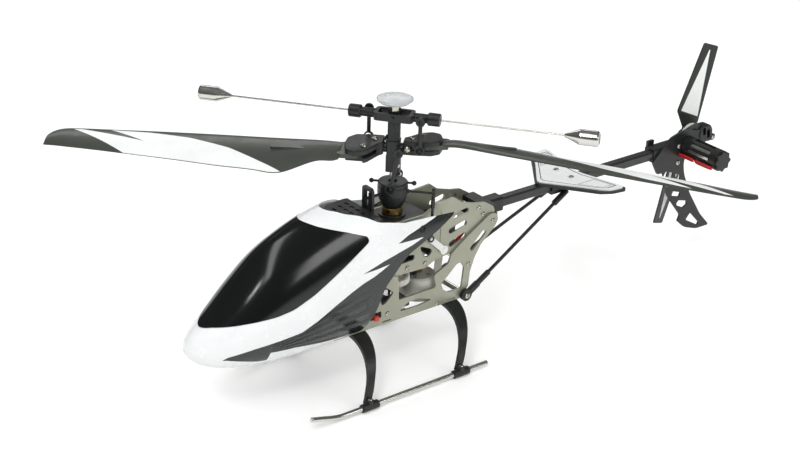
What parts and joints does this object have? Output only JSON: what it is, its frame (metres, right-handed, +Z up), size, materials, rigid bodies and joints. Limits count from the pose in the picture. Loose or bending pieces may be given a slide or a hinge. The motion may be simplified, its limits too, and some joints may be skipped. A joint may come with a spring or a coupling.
{
  "type": "remote control helicopter",
  "caption": "Toy remote-control helicopter with a metal side-plate frame, weighted flybar rotor head, sliding canopy, tube skids and a motor-driven tail rotor.",
  "frame": {"origin": "on the main shaft's axis, at ground level under the skid clamps", "axes": "+Z is up along the main shaft, +Y points to the tail and -Y to the nose, +X is the helicopter's left side"},
  "size_m": [0.3424, 0.4823, 0.1933],
  "materials": {
    "frame_metal": "satin champagne-grey anodised sheet",
    "bright_metal": "nickel-plated, polished",
    "screw_steel": "plated screws",
    "bearing_steel": "ground steel",
    "dark_metal": "black anodised tube",
    "black_plastic": "moulded, satin",
    "black_gloss": "moulded, glossy",
    "white_plastic": "moulded nylon",
    "white_gloss": "glossy shell",
    "clear_white": "milky translucent",
    "tinted_window": "dark smoked, glossy",
    "blade_dark": "dark printed blade",
    "white_gear": "nylon gear",
    "black_gear": "nylon gear",
    "brass_gear": "machined brass",
    "motor_can": "plated motor can",
    "battery_sleeve": "shrink sleeve",
    "board_green": "circuit board",
    "servo_case": "moulded case",
    "red_plastic": "moulded",
    "red_wire": "silicone insulation"
  },
  "bodies": {
    "airframe": {"frame_plate_left": "frame_metal", "frame_plate_right": "frame_metal", "servo_plates": "frame_metal", "frame_spacers": "bright_metal", "bearing_blocks": "black_plastic", "mast_bearings": "bearing_steel", "battery_pack": "battery_sleeve", "battery_tray": "black_plastic", "receiver_board": "board_green", "switch_body": "black_plastic", "wiring": "red_wire", "servos": "servo_case", "anti_rotation_bracket": "black_plastic", "main_motor": "motor_can", "skid_struts": "black_plastic", "skid_tubes": "bright_metal", "tail_boom": "dark_metal", "boom_sleeve": "black_plastic", "stabilizer_base": "black_plastic", "stabilizer_cover": "white_gloss", "tail_braces": "black_plastic", "tail_fin": "black_plastic", "tail_housing": "black_plastic", "tail_motor": "bright_metal", "tail_motor_sleeve": "black_plastic", "screws": "screw_steel"},
    "swash_ball": {"swash_ball": "bright_metal"},
    "swash_lower": {"swash_lower": "black_plastic"},
    "swash_upper": {"swash_upper": "black_plastic"},
    "rotor_head": {"main_shaft": "bearing_steel", "main_gear": "white_gear", "shaft_collar": "brass_gear", "rotor_hub": "black_plastic", "swash_links": "black_plastic", "head_fasteners": "screw_steel", "top_disc": "clear_white"},
    "blade_yoke": {"blade_grips": "black_plastic", "grip_bolts": "screw_steel", "blade_a": "blade_dark", "blade_b": "blade_dark"},
    "flybar": {"flybar_seesaw": "black_plastic", "flybar_rod": "bright_metal", "flybar_weights": "bright_metal"},
    "flybar_link_a": {"flybar_link_a": "black_plastic"},
    "flybar_link_b": {"flybar_link_b": "black_plastic"},
    "idler": {"idler_gear": "black_gear"},
    "motor_shaft": {"motor_pinion": "brass_gear"},
    "servo_arm_left": {"servo_arm_left": "white_plastic"},
    "servo_arm_right": {"servo_arm_right": "white_plastic"},
    "pushrod_left": {"pushrod_left": "black_plastic"},
    "pushrod_right": {"pushrod_right": "black_plastic"},
    "switch": {"switch_knob": "red_plastic"},
    "tail_rotor": {"tail_rotor": "black_gloss", "tail_shaft": "bearing_steel", "tail_gear": "white_gear"},
    "tail_pinion": {"tail_pinion": "brass_gear"},
    "canopy": {"canopy_shell": "white_gloss", "windshield": "tinted_window", "canopy_vent": "black_plastic"}
  },
  "joints": [
    {"name": "main_rotor_spin", "type": "hinge", "parent": "airframe", "child": "rotor_head", "pos_m": [0, 0, 0.06], "axis": [0, 0, 1], "continuous": true},
    {"name": "idler_spin", "type": "hinge", "parent": "airframe", "child": "idler", "pos_m": [0, 0.0168, 0.063], "axis": [0, 0, 1], "continuous": true},
    {"name": "motor_spin", "type": "hinge", "parent": "airframe", "child": "motor_shaft", "pos_m": [0, 0.0237, 0.063], "axis": [0, 0, 1], "continuous": true},
    {"name": "swash_tilt_left", "type": "hinge", "parent": "airframe", "child": "swash_ball", "pos_m": [0, 0, 0.124], "axis": [0.7071, -0.7071, 0], "range_deg": [-5, 5]},
    {"name": "swash_tilt_right", "type": "hinge", "parent": "swash_ball", "child": "swash_lower", "pos_m": [0, 0, 0.124], "axis": [0.7071, 0.7071, 0], "range_deg": [-5, 5]},
    {"name": "swash_upper_spin", "type": "hinge", "parent": "swash_lower", "child": "swash_upper", "pos_m": [0, 0, 0.124], "axis": [0, 0, 1], "continuous": true},
    {"name": "servo_arm_left_turn", "type": "hinge", "parent": "airframe", "child": "servo_arm_left", "pos_m": [0.015, 0.033, 0.081], "axis": [1, 0, 0], "range_deg": [-9.4, 9.4]},
    {"name": "servo_arm_right_turn", "type": "hinge", "parent": "airframe", "child": "servo_arm_right", "pos_m": [-0.015, 0.033, 0.081], "axis": [1, 0, 0], "range_deg": [-9.4, 9.4]},
    {"name": "pushrod_left_swing", "type": "hinge", "parent": "servo_arm_left", "child": "pushrod_left", "pos_m": [0.0189, 0.0185, 0.0945], "axis": [1, 0, 0], "range_deg": [-13.6, 13.6]},
    {"name": "pushrod_right_swing", "type": "hinge", "parent": "servo_arm_right", "child": "pushrod_right", "pos_m": [-0.0189, 0.0185, 0.0945], "axis": [1, 0, 0], "range_deg": [-13.6, 13.6]},
    {"name": "flybar_tilt", "type": "hinge", "parent": "rotor_head", "child": "flybar", "pos_m": [0, 0, 0.1804], "axis": [0.6252, -0.7804, 0], "range_deg": [-5, 5]},
    {"name": "blade_feather", "type": "hinge", "parent": "rotor_head", "child": "blade_yoke", "pos_m": [0, 0, 0.1579], "axis": [0.6947, 0.7193, 0], "range_deg": [-10, 10]},
    {"name": "flybar_link_a_swing", "type": "hinge", "parent": "flybar", "child": "flybar_link_a", "pos_m": [-0.01917, -0.00613, 0.1804], "axis": [0.6252, -0.7804, 0], "range_deg": [-5, 5]},
    {"name": "flybar_link_b_swing", "type": "hinge", "parent": "flybar", "child": "flybar_link_b", "pos_m": [0.01917, 0.00613, 0.1804], "axis": [0.6252, -0.7804, 0], "range_deg": [-5, 5]},
    {"name": "tail_rotor_spin", "type": "hinge", "parent": "airframe", "child": "tail_rotor", "pos_m": [-0.007, 0.288, 0.0963], "axis": [1, 0, 0], "continuous": true},
    {"name": "tail_pinion_spin", "type": "hinge", "parent": "airframe", "child": "tail_pinion", "pos_m": [0, 0.2745, 0.0963], "axis": [1, 0, 0], "continuous": true},
    {"name": "switch_slide", "type": "slide", "parent": "airframe", "child": "switch", "axis": [0, 1, 0], "range_m": [-0.0018, 0.0018]},
    {"name": "canopy_slide", "type": "slide", "parent": "airframe", "child": "canopy", "axis": [0, -1, 0], "range_m": [0, 0.15]}
  ],
  "couplings": [
    {"joint": "idler_spin", "follows": "main_rotor_spin", "ratio": -3},
    {"joint": "motor_spin", "follows": "main_rotor_spin", "ratio": 4.6667},
    {"joint": "swash_upper_spin", "follows": "main_rotor_spin", "ratio": 1},
    {"joint": "servo_arm_left_turn", "follows": "swash_tilt_left", "ratio": -1.862},
    {"joint": "pushrod_left_swing", "follows": "swash_tilt_left", "ratio": 2.7},
    {"joint": "servo_arm_right_turn", "follows": "swash_tilt_right", "ratio": -1.862},
    {"joint": "pushrod_right_swing", "follows": "swash_tilt_right", "ratio": 2.7},
    {"joint": "blade_feather", "follows": "flybar_tilt", "ratio": -1.98},
    {"joint": "flybar_link_a_swing", "follows": "flybar_tilt", "ratio": -1},
    {"joint": "flybar_link_b_swing", "follows": "flybar_tilt", "ratio": -1},
    {"joint": "tail_pinion_spin", "follows": "tail_rotor_spin", "ratio": -4.4}
  ]
}
